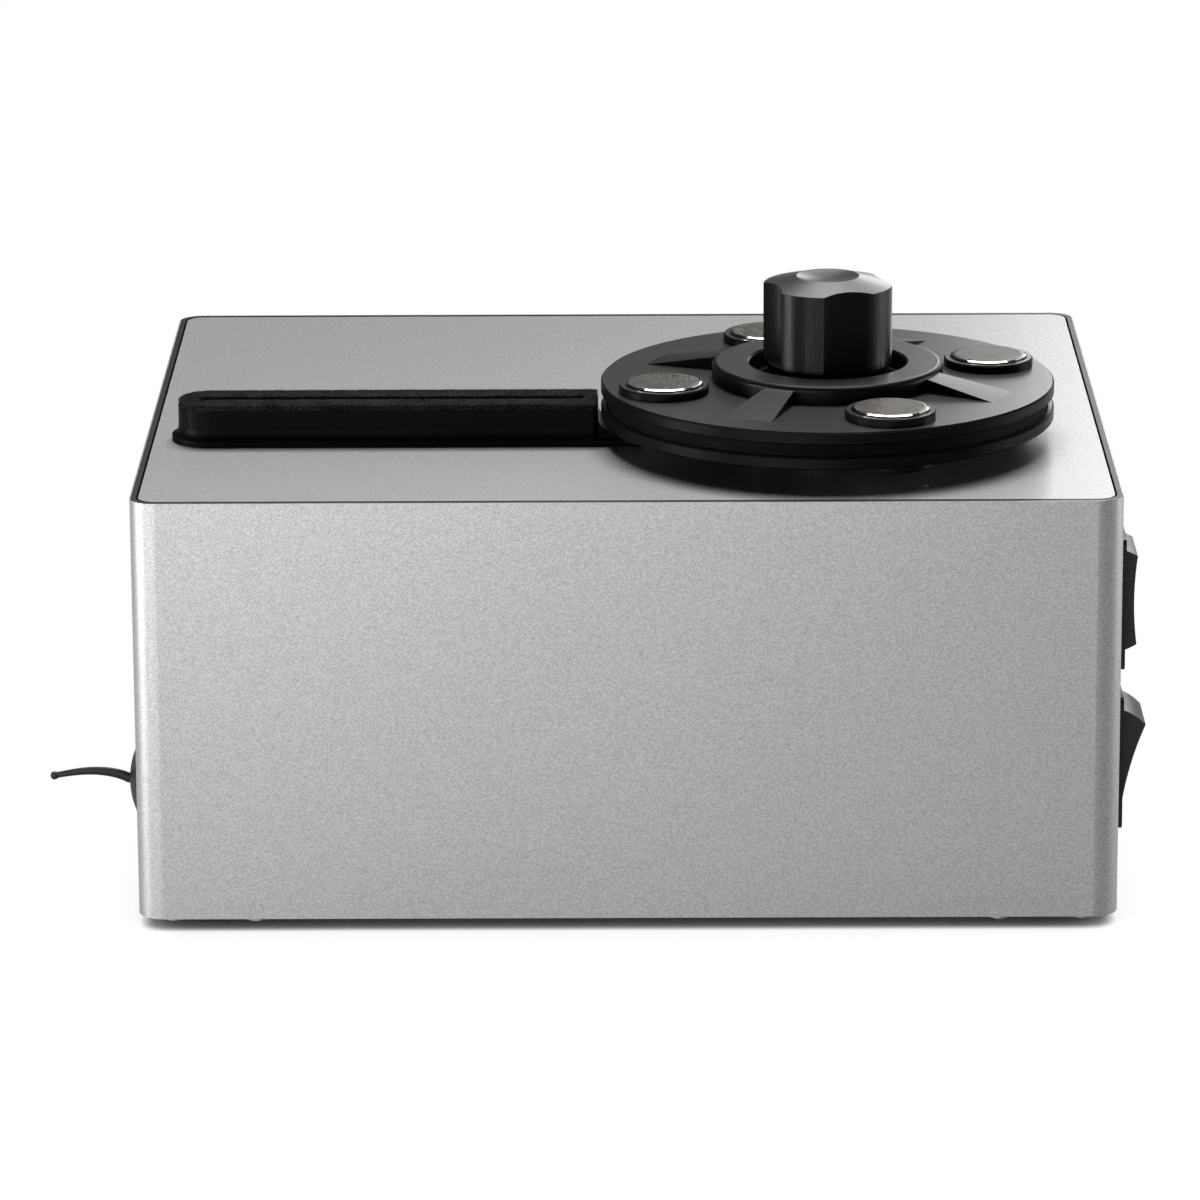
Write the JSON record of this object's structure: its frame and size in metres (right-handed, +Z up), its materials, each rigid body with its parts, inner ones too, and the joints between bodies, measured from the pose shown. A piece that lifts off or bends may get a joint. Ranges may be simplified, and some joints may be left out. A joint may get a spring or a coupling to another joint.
{
  "type": "record cleaning machine",
  "caption": "Silver sheet-metal record cleaning machine with a driven disc, a lift-off magnetic clamp with a scalloped knob, a velvet-lipped suction nozzle, rocker switches and a drain plug.",
  "frame": {"origin": "on the spindle's axis, at the height where a record's underside rests on the driven disc's sealing ring", "axes": "+X to the right and +Y to the back as seen from the front, +Z up along the spindle's axis"},
  "size_m": [0.2543, 0.1895, 0.1401],
  "materials": {
    "sleeve_silver": "fine-grained silver paint, satin",
    "top_silver": "satin, fine grain",
    "sheet_steel": "zinc-plated",
    "screw_steel": "zinc-plated",
    "black_screw": "blackened",
    "black_rubber": "matte",
    "hose_rubber": "matte",
    "nozzle_black": "satin",
    "velvet": "short pile",
    "tank_plastic": "translucent white",
    "dark_plastic": "satin",
    "switch_plastic": "satin",
    "motor_steel": "plated",
    "fan_aluminium": "pressed",
    "shaft_steel": "ground",
    "cast_alloy": "cast",
    "bronze": "machined",
    "gear_plastic": "moulded",
    "disc_plastic": "fine moulded grain, satin",
    "nickel": "nickel-plated",
    "knob_black": "satin",
    "board_green": "lacquered"
  },
  "bodies": {
    "case": {"sleeve_cover": "sleeve_silver", "top_plate": "top_silver", "base_plate": "sheet_steel", "corner_posts": "sheet_steel", "sleeve_brackets": "sheet_steel", "motor_bracket": "sheet_steel", "base_screws": "screw_steel", "foot_screws": "screw_steel", "nozzle_screws": "screw_steel", "lid_screws": "screw_steel", "sunk_screws": "black_screw", "feet": "black_rubber", "fan_mounts": "black_rubber", "tank_gasket": "black_rubber", "nozzle_hose": "hose_rubber", "suction_hose": "hose_rubber", "nozzle_body": "nozzle_black", "velvet_strip": "velvet", "waste_tank": "tank_plastic", "tank_lid": "dark_plastic", "drain_bush": "dark_plastic", "mains_inlet": "dark_plastic", "board_parts": "dark_plastic", "upper_switch": "switch_plastic", "lower_switch": "switch_plastic", "fan_motor": "motor_steel", "gear_motor": "motor_steel", "fan_housing": "fan_aluminium", "bearing_housing": "cast_alloy", "spindle_bushes": "bronze", "switch_tabs": "bronze", "board_standoffs": "bronze", "thrust_washer": "gear_plastic", "inlet_pins": "nickel", "circuit_board": "board_green"},
    "turntable": {"spindle": "shaft_steel", "spindle_gear": "gear_plastic", "gear_screw": "screw_steel", "driven_disc": "disc_plastic", "driven_seal": "black_rubber", "driven_magnets": "nickel", "driven_screws": "black_screw"},
    "clamp": {"clamp_disc": "disc_plastic", "clamp_seal": "black_rubber", "clamp_magnets": "nickel", "clamp_screws": "black_screw", "clamp_knob": "knob_black"},
    "pinion": {"motor_shaft": "shaft_steel", "drive_pinion": "bronze"},
    "fan_rotor": {"impeller": "fan_aluminium", "fan_shaft": "shaft_steel"},
    "direction_rocker": {"direction_rocker": "switch_plastic"},
    "vacuum_rocker": {"vacuum_rocker": "switch_plastic"},
    "drain_plug": {"drain_plug": "black_rubber"}
  },
  "joints": [
    {"name": "disc_spin", "type": "hinge", "parent": "case", "child": "turntable", "pos_m": [0, 0, 0], "axis": [0, 0, 1], "continuous": true},
    {"name": "pinion_spin", "type": "hinge", "parent": "case", "child": "pinion", "pos_m": [-0.0376, 0, -0.0482], "axis": [0, 0, 1], "continuous": true},
    {"name": "clamp_lift", "type": "slide", "parent": "turntable", "child": "clamp", "axis": [0, 0, 1], "range_m": [0, 0.035]},
    {"name": "fan_spin", "type": "hinge", "parent": "case", "child": "fan_rotor", "pos_m": [0.011, 0.0792, -0.1062], "axis": [0, 0, 1], "continuous": true},
    {"name": "direction_rocker_tilt", "type": "hinge", "parent": "case", "child": "direction_rocker", "pos_m": [0.0635, -0.02755, -0.0397], "axis": [0, 1, 0], "range_deg": [-15, 15]},
    {"name": "vacuum_rocker_tilt", "type": "hinge", "parent": "case", "child": "vacuum_rocker", "pos_m": [0.0635, -0.02755, -0.0779], "axis": [0, 1, 0], "range_deg": [-30, 0]},
    {"name": "drain_plug_pull", "type": "slide", "parent": "case", "child": "drain_plug", "axis": [-1, 0, 0], "range_m": [0, 0.03]}
  ],
  "couplings": [
    {"joint": "pinion_spin", "follows": "disc_spin", "ratio": -4}
  ]
}
